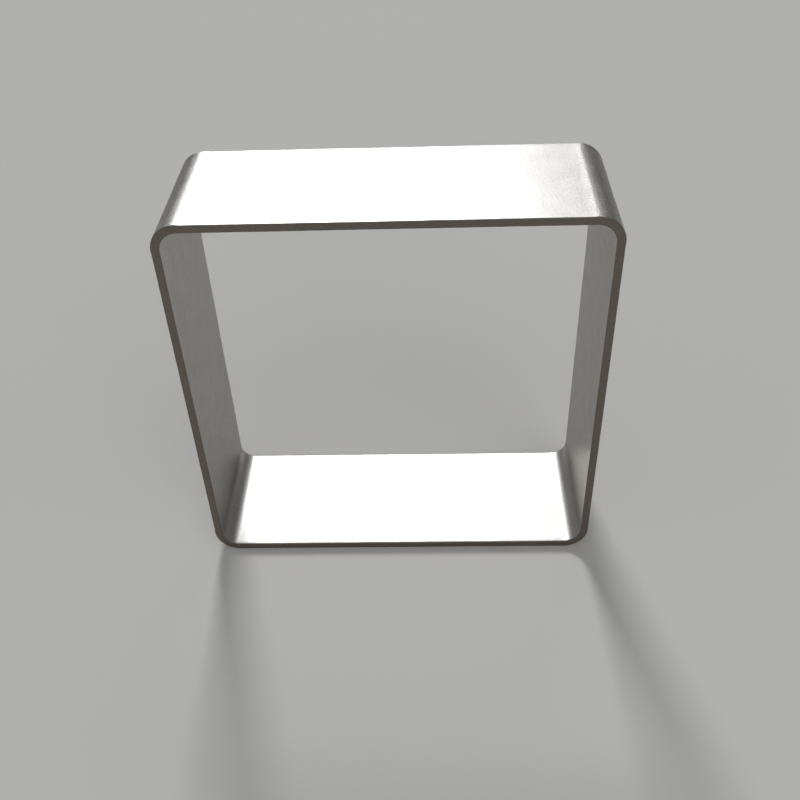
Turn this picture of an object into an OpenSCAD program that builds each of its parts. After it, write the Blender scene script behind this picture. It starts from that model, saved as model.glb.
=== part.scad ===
// Square band: one short length of rounded-corner square tube, standing on one of
// its four walls with the open bore facing forwards and backwards.
//
// Axes: X is the width, Y the depth (the bore's direction, front towards -Y) and
// Z is up. The origin is on the underside, at the middle of the footprint.
// All lengths are in millimetres.

/* [Band] */
// Outside width of the square, wall to wall
band_w = 60; // [40:1:120]
// Outside height of the square, underside to top
band_h = 60; // [40:1:120]
// Depth of the band, from the front rim to the back rim
band_d = 21; // [8:0.5:60]
// Wall thickness
wall_t = 1.2; // [0.8:0.1:3]

/* [Corners] */
// Outside radius of the four bends
corner_r = 3.8; // [3.4:0.1:10]
// Width of the chamfer that breaks every sharp rim edge
edge_break = 0.15; // [0.05:0.01:0.3]

/* [Finish] */
// Colour of the satin, blasted walls
wall_colour = "silver"; // [silver, lightgray, darkgray, gray]

/* [Hidden] */

// Fineness of the bends and of the preview
bend_fn = 96;

half_d = band_d / 2;
// Inside radius of a bend: the wall keeps its thickness round the corner
inner_r = corner_r - wall_t;
// Straight length of the top and bottom walls, and of the side walls
flat_w = band_w - 2 * corner_r;
flat_h = band_h - 2 * corner_r;
// Centres of the four bends, measured from the middle of the square
bend_x = flat_w / 2;
bend_z = flat_h / 2;

// Section through the wall. First axis: distance from the bend's axis (inner face
// at inner_r, outer face at corner_r). Second axis: depth, front rim to back rim.
// All four edges are broken by a small chamfer.
module wall_section() {
    c = edge_break;
    polygon([
        [inner_r + c, -half_d], [corner_r - c, -half_d],
        [corner_r, -half_d + c], [corner_r, half_d - c],
        [corner_r - c, half_d], [inner_r + c, half_d],
        [inner_r, half_d - c], [inner_r, -half_d + c]
    ]);
}

// One bend: a quarter turn of the wall section about the depth axis, from +X up
// to +Z.
module bend() {
    rotate([90, 0, 0])
        rotate_extrude(angle = 90, $fn = bend_fn)
            wall_section();
}

// One straight wall of the given length: the same section, run downwards from the
// bend's first edge along its tangent.
module straight_wall(run) {
    translate([0, 0, -run])
        linear_extrude(height = run)
            wall_section();
}

// A side: a bend, and the straight wall that leaves it, with the bend's axis at
// the origin and the wall's outer face towards +X.
module side(run) {
    union() {
        bend();
        straight_wall(run);
    }
}

// The whole band, centred on the middle of the square: four sides, each turned a
// quarter turn from the last. The first and third run down the side walls, the
// second and fourth along the top and bottom walls.
module band_about_centre() {
    union() {
        translate([bend_x, 0, bend_z]) side(flat_h);
        translate([-bend_x, 0, bend_z]) rotate([0, -90, 0]) side(flat_w);
        translate([-bend_x, 0, -bend_z]) rotate([0, 180, 0]) side(flat_h);
        translate([bend_x, 0, -bend_z]) rotate([0, 90, 0]) side(flat_w);
    }
}

// The finished band, standing on its bottom wall.
module square_band() {
    color(wall_colour)
        translate([0, 0, band_h / 2])
            band_about_centre();
}

square_band();
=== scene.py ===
"""Looks for the square aluminium band: one refined mesh that stands for the CAD node, a satin blasted material,
a plain pale floor and soft studio light. Metres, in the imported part's own frame: +Z up, front towards -Y."""

import math

import bmesh
import bpy
from mathutils import Matrix, Vector, noise


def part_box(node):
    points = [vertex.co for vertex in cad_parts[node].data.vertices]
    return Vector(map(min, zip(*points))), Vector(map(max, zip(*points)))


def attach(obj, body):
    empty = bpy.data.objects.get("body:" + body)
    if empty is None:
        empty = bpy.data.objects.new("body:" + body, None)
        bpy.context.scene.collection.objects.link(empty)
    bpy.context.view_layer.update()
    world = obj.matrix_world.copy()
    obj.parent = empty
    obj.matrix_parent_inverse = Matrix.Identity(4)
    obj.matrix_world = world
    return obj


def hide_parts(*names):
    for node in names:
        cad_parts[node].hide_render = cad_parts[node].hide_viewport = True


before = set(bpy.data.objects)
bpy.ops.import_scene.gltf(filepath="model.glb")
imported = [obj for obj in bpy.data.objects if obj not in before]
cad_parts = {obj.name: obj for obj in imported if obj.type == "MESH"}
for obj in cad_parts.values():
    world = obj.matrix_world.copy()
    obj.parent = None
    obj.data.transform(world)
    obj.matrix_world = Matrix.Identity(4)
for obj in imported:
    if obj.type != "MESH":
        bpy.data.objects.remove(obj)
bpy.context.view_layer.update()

MM = 0.001
scene = bpy.context.scene

# ---------------------------------------------------------------- sizes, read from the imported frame
node_lo, node_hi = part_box("square_band")
WIDTH = node_hi.x - node_lo.x
HEIGHT = node_hi.z - node_lo.z
DEPTH = node_hi.y - node_lo.y
MID_X = (node_lo.x + node_hi.x) / 2
MID_Y = (node_lo.y + node_hi.y) / 2
MID_Z = (node_lo.z + node_hi.z) / 2
HALF_D = DEPTH / 2
WALL = 1.2 * MM  # wall thickness of the CAD node
BEND = 3.8 * MM  # its outside bend radius
FACE_STEPS = 24  # mesh steps across the depth of a wall

# ---------------------------------------------------------------- camera
cam_data = bpy.data.cameras.new("camera")
cam_data.sensor_fit = "HORIZONTAL"
cam_data.sensor_width = 36.0
cam_data.lens = 955.85 / 800 * 36.0
cam_data.clip_start = 0.005
cam_data.clip_end = 20.0
cam = bpy.data.objects.new("camera", cam_data)
scene.collection.objects.link(cam)
right = Vector((0.99925417, 0.01884533, -0.03370386))
down = Vector((-0.01385789, -0.63966797, -0.76852641))
ahead = Vector((-0.03604241, 0.76842029, -0.63892973))
matrix = Matrix((right, -down, -ahead)).transposed().to_4x4()
matrix.translation = Vector((0.09634883 * WIDTH, -1.91641758 * WIDTH, 1.96966162 * WIDTH))
cam.matrix_world = matrix
scene.camera = cam


# ---------------------------------------------------------------- the band's mesh
def smooth_noise(x, y, z, seed):
    """Smooth noise from -1 to 1, the same on every run."""
    return noise.noise(Vector((x + 17.31 * seed, y - 9.17 * seed, z + 5.53 * seed)))


def outline_stations(spacing, bend_steps):
    """Points round the outer outline as (x, z, normal x, normal z, distance to the nearest bend), clockwise from the
    top left. The last value is 0 in a bend."""
    stations = []
    half_w, half_h = WIDTH / 2 - BEND, HEIGHT / 2 - BEND
    walls = [  # start of each straight wall, its direction, its length and its outward normal
        ((-half_w, HEIGHT / 2), (1, 0), 2 * half_w, (0, 1)),
        ((WIDTH / 2, half_h), (0, -1), 2 * half_h, (1, 0)),
        ((half_w, -HEIGHT / 2), (-1, 0), 2 * half_w, (0, -1)),
        ((-WIDTH / 2, -half_h), (0, 1), 2 * half_h, (-1, 0)),
    ]
    bends = [(half_w, half_h, 90), (half_w, -half_h, 0), (-half_w, -half_h, -90), (-half_w, half_h, -180)]
    for ((x, z), (dx, dz), length, (nx, nz)), (cx, cz, first) in zip(walls, bends):
        steps = max(2, round(length / spacing))
        for i in range(steps):
            s = length * i / steps
            stations.append((x + dx * s, z + dz * s, nx, nz, min(s, length - s)))
        for i in range(bend_steps):
            a = math.radians(first - 90 * i / bend_steps)
            ca, sa = math.cos(a), math.sin(a)
            stations.append((cx + BEND * ca, cz + BEND * sa, ca, sa, 0.0))
    return stations


def edge_radius(x, z, seed):
    """Radius of the hand-broken rim edge at a place on the outline: about 0.15 mm, uneven, with a few longer rubs."""
    nicks = smooth_noise(x / (0.62 * MM), z / (0.62 * MM), 5.0, seed + 20)
    fine = smooth_noise(x / (1.3 * MM), z / (1.3 * MM), 0.0, seed)
    broad = smooth_noise(x / (7.0 * MM), z / (7.0 * MM), 3.0, seed + 5)
    r = 0.150 + 0.035 * nicks + 0.030 * fine + 0.035 * broad
    return max(0.075, min(0.25, r)) * MM


def wall_section(x, z):
    """The wall's closed section at a place on the outline, as (depth below the outer face, y). Its number of points is
    always the same."""
    r_of = edge_radius(x, z, 1)
    r_ob = edge_radius(x, z, 2)
    r_ib = edge_radius(x, z, 3)
    r_if = edge_radius(x, z, 4)
    hold = 0.30 * MM
    # The cut rims are flat to a few hundredths of a millimetre, and only ever inside the part's box.
    front = -HALF_D + 0.018 * MM * (1 + smooth_noise(x / (5 * MM), z / (5 * MM), 1.0, 8)) * 0.5
    back = HALF_D - 0.018 * MM * (1 + smooth_noise(x / (5 * MM), z / (5 * MM), 2.0, 9)) * 0.5
    pts = []

    def face(d, y0, y1, inner_steps):
        ys = [y0, y0 + math.copysign(hold, y1 - y0)]
        a, b = ys[1], y1 - math.copysign(hold, y1 - y0)
        ys += [a + (b - a) * i / inner_steps for i in range(1, inner_steps + 1)] + [y1]
        return [(d, y) for y in ys]

    def rounding(cd, cy, r, a0, a1, steps=4):
        out = []
        for i in range(1, steps):
            a = math.radians(a0 + (a1 - a0) * i / steps)
            out.append((cd + r * math.cos(a), cy + r * math.sin(a)))
        return out

    def rim(y, d0, d1, steps=4):
        return [(d0 + (d1 - d0) * i / steps, y) for i in range(steps + 1)]

    pts += face(0.0, front + r_of, back - r_ob, FACE_STEPS)
    pts += rounding(r_ob, back - r_ob, r_ob, 180, 90)
    pts += rim(back, r_ob, WALL - r_ib)
    pts += rounding(WALL - r_ib, back - r_ib, r_ib, 90, 0)
    pts += face(WALL, back - r_ib, front + r_if, FACE_STEPS)
    pts += rounding(WALL - r_if, front + r_if, r_if, 0, -90)
    pts += rim(front, WALL - r_if, r_of)
    pts += rounding(r_of, front + r_of, r_of, -90, -180)
    return pts


HOLLOW = 5.5  # hundredths of a millimetre


def wall_sink(x, y, z, from_bend, inside):
    """How far the drawn wall lies inside the true outline here, in hundredths of a millimetre: a gentle waviness, a
    hollow that starts where each flat wall leaves its bend, and the bends' own slight unevenness. The hollow is in the
    outer face, and hardly shows on the inner one, where inside is 1."""
    n = smooth_noise(x / (16 * MM), y / (26 * MM), z / (16 * MM), 11)
    m = smooth_noise(x / (6 * MM), y / (14 * MM), z / (6 * MM), 12)
    waves = 1.0 + 0.70 * n + 0.20 * m
    hollow = HOLLOW * (1 - 0.85 * inside) * (1 - math.exp(-from_bend / (0.8 * MM)))
    in_bend = math.exp(-((from_bend / (1.2 * MM)) ** 2))
    b = smooth_noise(x / (3.6 * MM), y / (5.0 * MM), z / (3.6 * MM), 13)
    c = smooth_noise(x / (1.7 * MM), y / (2.6 * MM), z / (1.7 * MM), 14)
    uneven = in_bend * (2.2 + 1.9 * b + 0.8 * c)
    return max(0.0, waves + hollow + uneven) * 0.01 * MM


def build_band():
    stations = outline_stations(0.30 * MM, 24)
    bm = bmesh.new()
    rings = []
    for x, z, nx, nz, from_bend in stations:
        ring = []
        for d, y in wall_section(x, z):
            sink = wall_sink(x, y, z, from_bend, min(1.0, d / WALL))
            ring.append(
                bm.verts.new((MID_X + x - nx * (d + sink), MID_Y + y, MID_Z + z - nz * (d + sink)))
            )
        rings.append(ring)
    count = len(rings[0])
    for i, ring in enumerate(rings):
        after = rings[(i + 1) % len(rings)]
        for j in range(count):
            k = (j + 1) % count
            bm.faces.new((ring[j], ring[k], after[k], after[j]))
    bmesh.ops.recalc_face_normals(bm, faces=bm.faces)
    mesh = bpy.data.meshes.new("band")
    bm.to_mesh(mesh)
    bm.free()
    mesh.shade_smooth()
    obj = bpy.data.objects.new("band", mesh)
    scene.collection.objects.link(obj)
    return obj


band = build_band()


# ---------------------------------------------------------------- materials
class Nodes:
    """A small helper that adds and links shader nodes."""

    def __init__(self, name):
        self.material = bpy.data.materials.new(name)
        self.material.use_nodes = True
        self.tree = self.material.node_tree
        self.tree.nodes.clear()
        self.out = self.tree.nodes.new("ShaderNodeOutputMaterial")
        self.shader = self.tree.nodes.new("ShaderNodeBsdfPrincipled")
        self.tree.links.new(self.shader.outputs[0], self.out.inputs["Surface"])

    def link(self, a, b):
        self.tree.links.new(a, b)

    def add(self, kind, **values):
        n = self.tree.nodes.new(kind)
        for k, v in values.items():
            setattr(n, k, v)
        return n

    def put(self, socket, value):
        if isinstance(value, bpy.types.NodeSocket):
            self.link(value, socket)
        else:
            socket.default_value = value

    def math(self, operation, a, b=0.0, c=0.0, clamp=False):
        n = self.add("ShaderNodeMath", operation=operation, use_clamp=clamp)
        for i, v in enumerate((a, b, c)):
            self.put(n.inputs[i], v)
        return n.outputs[0]

    def noise(self, vector, scale, detail=2.0, roughness=0.5, distortion=0.0):
        n = self.add("ShaderNodeTexNoise")
        self.link(vector, n.inputs["Vector"])
        n.inputs["Scale"].default_value = scale
        n.inputs["Detail"].default_value = detail
        n.inputs["Roughness"].default_value = roughness
        n.inputs["Distortion"].default_value = distortion
        return n.outputs["Fac"]

    def stretch(self, vector, scale):
        n = self.add("ShaderNodeMapping")
        self.link(vector, n.inputs["Vector"])
        n.inputs["Scale"].default_value = scale
        return n.outputs[0]

    def ramp(self, value, low, high, out_low=0.0, out_high=1.0, smooth=True):
        n = self.add("ShaderNodeMapRange", interpolation_type="SMOOTHSTEP" if smooth else "LINEAR")
        self.put(n.inputs["Value"], value)
        n.inputs["From Min"].default_value = low
        n.inputs["From Max"].default_value = high
        n.inputs["To Min"].default_value = out_low
        n.inputs["To Max"].default_value = out_high
        return n.outputs["Result"]

    def mix(self, factor, a, b):
        n = self.add("ShaderNodeMix", data_type="RGBA")
        self.put(n.inputs["Factor"], factor)
        colours = [s for s in n.inputs if s.type == "RGBA"]
        self.put(colours[0], a)
        self.put(colours[1], b)
        return next(s for s in n.outputs if s.type == "RGBA")

    def scaled(self, colour, factor):
        """A colour times a grey factor."""
        n = self.add("ShaderNodeVectorMath", operation="SCALE")
        self.put(n.inputs[0], colour)
        self.put(n.inputs["Scale"], factor)
        return n.outputs[0]


WALL_COLOUR = (0.62, 0.612, 0.596)
# Cut rims: the warm brown tint is their own, but their darkness is painted shade, in place of the dim surroundings
# they would reflect.
RIM_BROWN_AND_PAINTED_SHADE = (0.225, 0.198, 0.174)
GRAZING_TINT = (0.58, 0.566, 0.535, 1.0)
ROUGHNESS = 0.43
BUMP = 0.017 * MM
BEND_GRAIN = 1.5
BEND_SPECKLE = 2.1


def satin_aluminium():
    k = Nodes("satin_aluminium")
    where = k.add("ShaderNodeTexCoord").outputs["Object"]
    xyz = k.add("ShaderNodeSeparateXYZ")
    k.link(where, xyz.inputs[0])
    y = k.math("ABSOLUTE", k.math("SUBTRACT", xyz.outputs["Y"], MID_Y))
    # 1 on a cut rim, 0 on the walls
    rim = k.ramp(y, HALF_D - 0.16 * MM, HALF_D - 0.07 * MM)
    # 1 on the outside of the four bends, where bending has opened the grain, fading out on the flat walls beside them
    past_x = k.math("SUBTRACT", k.math("ABSOLUTE", k.math("SUBTRACT", xyz.outputs["X"], MID_X)), WIDTH / 2 - BEND)
    past_z = k.math("SUBTRACT", k.math("ABSOLUTE", k.math("SUBTRACT", xyz.outputs["Z"], MID_Z)), HEIGHT / 2 - BEND)
    bend = k.ramp(k.math("MINIMUM", past_x, past_z), -5.0 * MM, 1.5 * MM)
    out_x, out_z = k.math("MAXIMUM", past_x, 0.0), k.math("MAXIMUM", past_z, 0.0)
    from_core = k.math("SQRT", k.math("ADD", k.math("MULTIPLY", out_x, out_x), k.math("MULTIPLY", out_z, out_z)))
    bend = k.math("MULTIPLY", bend, k.ramp(from_core, BEND - 0.9 * MM, BEND - 0.3 * MM))
    # 1 in the middle of the rounded edge between a wall and a rim, where a painted highlight lightens the colour and
    # the roughness is a little lower
    edge = k.math("MULTIPLY", k.ramp(y, HALF_D - 0.30 * MM, HALF_D - 0.14 * MM), k.math("SUBTRACT", 1.0, rim))

    grain = k.noise(where, 1 / (0.28 * MM), 3.0, 0.55)  # the blasted grain
    fine = k.noise(where, 1 / (0.18 * MM), 2.0, 0.6)
    cloud = k.noise(where, 1 / (9.0 * MM), 3.0, 0.5, 0.6)  # broad, faint unevenness of the blasting
    patch = k.noise(where, 1 / (2.6 * MM), 2.0, 0.5)
    drawn = k.noise(k.stretch(where, (1.0, 0.035, 1.0)), 1 / (0.55 * MM), 2.0, 0.5)  # faint lines along the tube
    saw = k.noise(k.stretch(where, (0.10, 1.0, 1.0)), 1 / (0.16 * MM), 2.0, 0.6)  # cut marks across the rims

    shade = k.math("MULTIPLY", k.math("SUBTRACT", grain, 0.5), 0.52)
    shade = k.math("MULTIPLY_ADD", k.math("SUBTRACT", fine, 0.5), 0.44, shade)
    shade = k.math("MULTIPLY_ADD", shade, k.math("MULTIPLY_ADD", bend, BEND_SPECKLE - 1.0, 1.0), 1.0)
    shade = k.math("MULTIPLY_ADD", k.math("SUBTRACT", cloud, 0.5), 0.07, shade)
    shade = k.math("MULTIPLY_ADD", k.math("SUBTRACT", patch, 0.5), 0.20, shade)
    shade = k.math("MULTIPLY_ADD", k.math("SUBTRACT", drawn, 0.5), 0.12, shade)
    wall_colour = k.scaled(WALL_COLOUR, shade)

    rim_shade = k.math("MULTIPLY_ADD", k.math("SUBTRACT", saw, 0.5), 0.22, 1.0)
    rim_shade = k.math("MULTIPLY_ADD", k.math("SUBTRACT", grain, 0.5), 0.5, rim_shade)
    # painted shade: the rims get a dark brown colour rather than the lighter tone their bare metal would show under
    # this light
    rim_tone_with_painted_shade = k.scaled(RIM_BROWN_AND_PAINTED_SHADE, rim_shade)

    colour = k.mix(rim, wall_colour, rim_tone_with_painted_shade)
    # painted highlight: a lighter colour in patches along the rounded rim edges
    painted_edge_highlight = k.math("MULTIPLY", edge, k.ramp(patch, 0.38, 0.62, 0.15, 0.8))
    colour = k.mix(painted_edge_highlight, colour, (0.72, 0.705, 0.68, 1.0))
    k.link(colour, k.shader.inputs["Base Color"])

    rough = k.math("MULTIPLY_ADD", k.math("SUBTRACT", grain, 0.5), 0.14, ROUGHNESS)
    rough = k.math("MULTIPLY_ADD", k.math("SUBTRACT", cloud, 0.5), 0.05, rough)
    rough = k.math("MULTIPLY_ADD", rim, 0.10, rough)
    rough = k.math("MULTIPLY_ADD", painted_edge_highlight, -0.10, rough)
    k.link(rough, k.shader.inputs["Roughness"])

    height = k.math("MULTIPLY_ADD", k.math("SUBTRACT", fine, 0.5), 0.85, k.math("SUBTRACT", grain, 0.5))
    height = k.math("MULTIPLY_ADD", k.math("SUBTRACT", drawn, 0.5), 0.16, height)
    height = k.math("MULTIPLY", height, k.math("MULTIPLY_ADD", bend, BEND_GRAIN - 1.0, 1.0))
    height = k.math("MULTIPLY_ADD", k.math("MULTIPLY", saw, rim), 0.5, height)
    bump = k.add("ShaderNodeBump")
    bump.inputs["Strength"].default_value = 1.0
    bump.inputs["Distance"].default_value = BUMP
    k.link(height, bump.inputs["Height"])
    k.link(bump.outputs["Normal"], k.shader.inputs["Normal"])

    k.shader.inputs["Metallic"].default_value = 1.0
    k.shader.inputs["Specular Tint"].default_value = GRAZING_TINT
    return k.material


band.data.materials.append(satin_aluminium())
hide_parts("square_band")
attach(band, "root")


# ---------------------------------------------------------------- floor
FLOOR_COLOUR = (0.66, 0.657, 0.648, 1.0)


def plain_floor():
    bm = bmesh.new()
    bmesh.ops.create_circle(bm, cap_ends=True, segments=128, radius=6.0)
    mesh = bpy.data.meshes.new("floor")
    bm.to_mesh(mesh)
    bm.free()
    obj = bpy.data.objects.new("floor", mesh)
    scene.collection.objects.link(obj)
    k = Nodes("plain_floor")
    k.shader.inputs["Base Color"].default_value = FLOOR_COLOUR
    k.shader.inputs["Roughness"].default_value = 0.85
    k.shader.inputs["Specular IOR Level"].default_value = 0.0
    mesh.materials.append(k.material)
    return obj


floor = plain_floor()


# ---------------------------------------------------------------- light
def soft_light(name, azimuth, elevation, distance, width, height, power, colour=(1, 1, 1), spread=180.0):
    """An area light that looks at the middle of the band. Azimuth 0 is behind the band (+Y), positive to the right."""
    data = bpy.data.lights.new(name, "AREA")
    data.shape = "RECTANGLE"
    data.size, data.size_y = width, height
    data.energy = power
    data.color = colour
    data.spread = math.radians(spread)
    obj = bpy.data.objects.new(name, data)
    scene.collection.objects.link(obj)
    a, e = math.radians(azimuth), math.radians(elevation)
    way = Vector((math.sin(a) * math.cos(e), math.cos(a) * math.cos(e), math.sin(e)))
    obj.location = Vector((0, 0, MID_Z)) + way * distance
    obj.rotation_mode = "QUATERNION"
    obj.rotation_quaternion = way.to_track_quat("Z", "Y")
    obj.visible_camera = False
    return obj


KEY = (-8.5, 37, 5.0, 0.88, 1.70, 14.3, (1, 1, 1), 60.0)
GLOW = (14, 52, 5.0, 1.6, 1.2, 9.0)
FRONT = (165, 48, 1.5, 1.2, 1.0, 3.4)
WORLD = (0.36, 0.08, 0.16)
soft_light("back_softbox", *KEY)
soft_light("front_fill", *FRONT)
soft_light("high_softbox", *GLOW)


def studio_world(front, back, horizon):
    """A plain grey room: brightest on the side that faces the band's front, dim behind it, and even at the horizon."""
    world = bpy.data.worlds.new("world")
    scene.world = world
    world.use_nodes = True
    tree = world.node_tree

    def ramp(socket, low, high, out_low, out_high):
        n = tree.nodes.new("ShaderNodeMapRange")
        n.interpolation_type = "SMOOTHSTEP"
        tree.links.new(socket, n.inputs["Value"])
        for name, v in (("From Min", low), ("From Max", high), ("To Min", out_low), ("To Max", out_high)):
            n.inputs[name].default_value = v
        return n.outputs["Result"]

    way = tree.nodes.new("ShaderNodeSeparateXYZ")
    tree.links.new(tree.nodes.new("ShaderNodeTexCoord").outputs["Generated"], way.inputs[0])
    room = tree.nodes.new("ShaderNodeMix")
    tree.links.new(ramp(way.outputs["Z"], 0.0, 0.25, 0.0, 1.0), room.inputs["Factor"])
    room.inputs["A"].default_value = horizon
    tree.links.new(ramp(way.outputs["Y"], -0.35, 0.50, front, back), room.inputs["B"])
    background = tree.nodes["Background"]
    background.inputs["Color"].default_value = (1.0, 1.0, 1.0, 1.0)
    tree.links.new(room.outputs["Result"], background.inputs["Strength"])


studio_world(*WORLD)
scene.view_settings.view_transform = "Standard"

bpy.context.view_layer.update()
